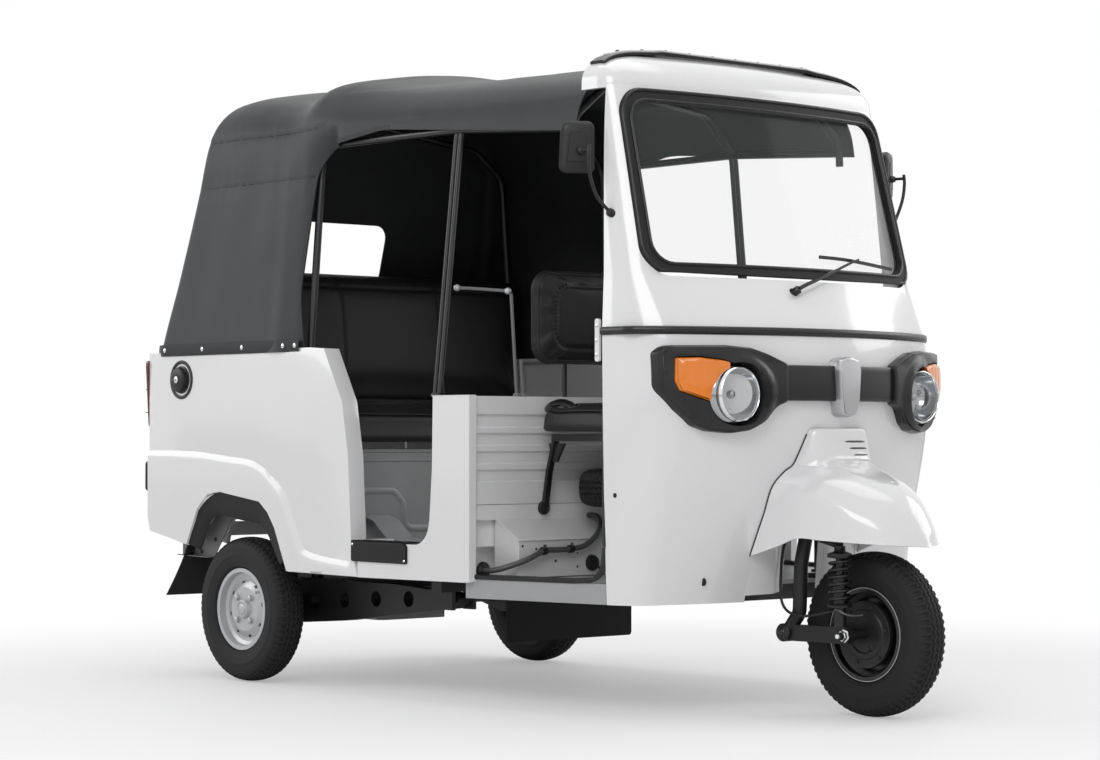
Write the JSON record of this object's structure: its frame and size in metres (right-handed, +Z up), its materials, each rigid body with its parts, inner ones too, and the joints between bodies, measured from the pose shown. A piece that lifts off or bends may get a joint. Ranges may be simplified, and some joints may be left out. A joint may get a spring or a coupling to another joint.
{
  "type": "auto rickshaw",
  "caption": "Three-wheeled passenger taxi with a hollow metal cab, fabric canopy, bench seats, steered front wheel, free wheels and a hinged engine lid.",
  "frame": {"origin": "on the floor under the middle of the vehicle's length and width", "axes": "+X forward along the length, +Y to the left, +Z up"},
  "size_m": [2.982, 1.544, 2.048],
  "materials": {
    "white_paint": "gloss",
    "grey_paint": "satin",
    "black_frame": "satin",
    "black_plastic": "satin",
    "rubber": "matte",
    "glass": "clear",
    "lamp_lens": "clear",
    "amber_lens": "gloss",
    "red_lens": "gloss",
    "housing_plastic": "gloss",
    "chrome_trim": "polished",
    "canopy_cloth": "matte",
    "seat_cover": "satin",
    "seat_tray": "satin",
    "engine_metal": "matte",
    "steel_part": "satin",
    "rim_silver": "satin",
    "rim_black": "gloss",
    "tyre": "matte"
  },
  "bodies": {
    "chassis": {"cab_lower": "white_paint", "cab_upper": "white_paint", "windscreen": "glass", "windscreen_seal": "rubber", "front_guard": "white_paint", "headlamp_housings": "black_plastic", "headlamps": "lamp_lens", "indicators": "amber_lens", "nose_shield": "chrome_trim", "wiper": "black_plastic", "mirrors": "black_plastic", "floor_pan": "grey_paint", "side_sills": "white_paint", "step_pads": "rubber", "quarter_panel_right": "white_paint", "quarter_panel_left": "white_paint", "tail_panel": "white_paint", "tail_lamps": "red_lens", "bumper_blocks": "rubber", "fuel_cap": "black_plastic", "mudflaps": "rubber", "partition": "white_paint", "driver_seat_frame": "black_frame", "driver_cushion": "seat_cover", "driver_backrest": "seat_cover", "backrest_frame": "black_frame", "spare_wheel": "tyre", "equipment_box": "housing_plastic", "passenger_seat_box": "grey_paint", "passenger_cushion": "seat_cover", "passenger_backrest": "seat_cover", "canopy": "canopy_cloth", "canopy_frame": "black_frame", "chassis_frame": "steel_part", "rear_arms": "steel_part", "rear_springs": "steel_part", "engine_block": "engine_metal", "rubber_apron": "rubber", "steering_head": "steel_part", "dashboard": "black_plastic"},
    "steering": {"steering_fork": "steel_part", "front_damper": "steel_part", "handlebar": "black_frame"},
    "front_wheel": {"front_rim": "rim_black", "front_tyre": "tyre"},
    "rear_wheel_right": {"rear_rim_right": "rim_silver", "rear_tyre_right": "tyre"},
    "rear_wheel_left": {"rear_rim_left": "rim_silver", "rear_tyre_left": "tyre"},
    "engine_lid": {"engine_lid": "white_paint"}
  },
  "joints": [
    {"name": "steering", "type": "hinge", "parent": "chassis", "child": "steering", "pos_m": [1.18337, 0, 0.242], "axis": [-0.309, 0, 0.9511], "range_deg": [-35, 35]},
    {"name": "front_wheel_spin", "type": "hinge", "parent": "steering", "child": "front_wheel", "pos_m": [1.23, 0, 0.242], "axis": [0, 1, 0], "continuous": true},
    {"name": "rear_wheel_right_spin", "type": "hinge", "parent": "chassis", "child": "rear_wheel_right", "pos_m": [-0.99, -0.641, 0.242], "axis": [0, 1, 0], "continuous": true},
    {"name": "rear_wheel_left_spin", "type": "hinge", "parent": "chassis", "child": "rear_wheel_left", "pos_m": [-0.99, 0.641, 0.242], "axis": [0, 1, 0], "continuous": true},
    {"name": "engine_lid_hinge", "type": "hinge", "parent": "chassis", "child": "engine_lid", "pos_m": [-1.487, 0, 0.846], "axis": [0, 1, 0], "range_deg": [0, 75]}
  ]
}
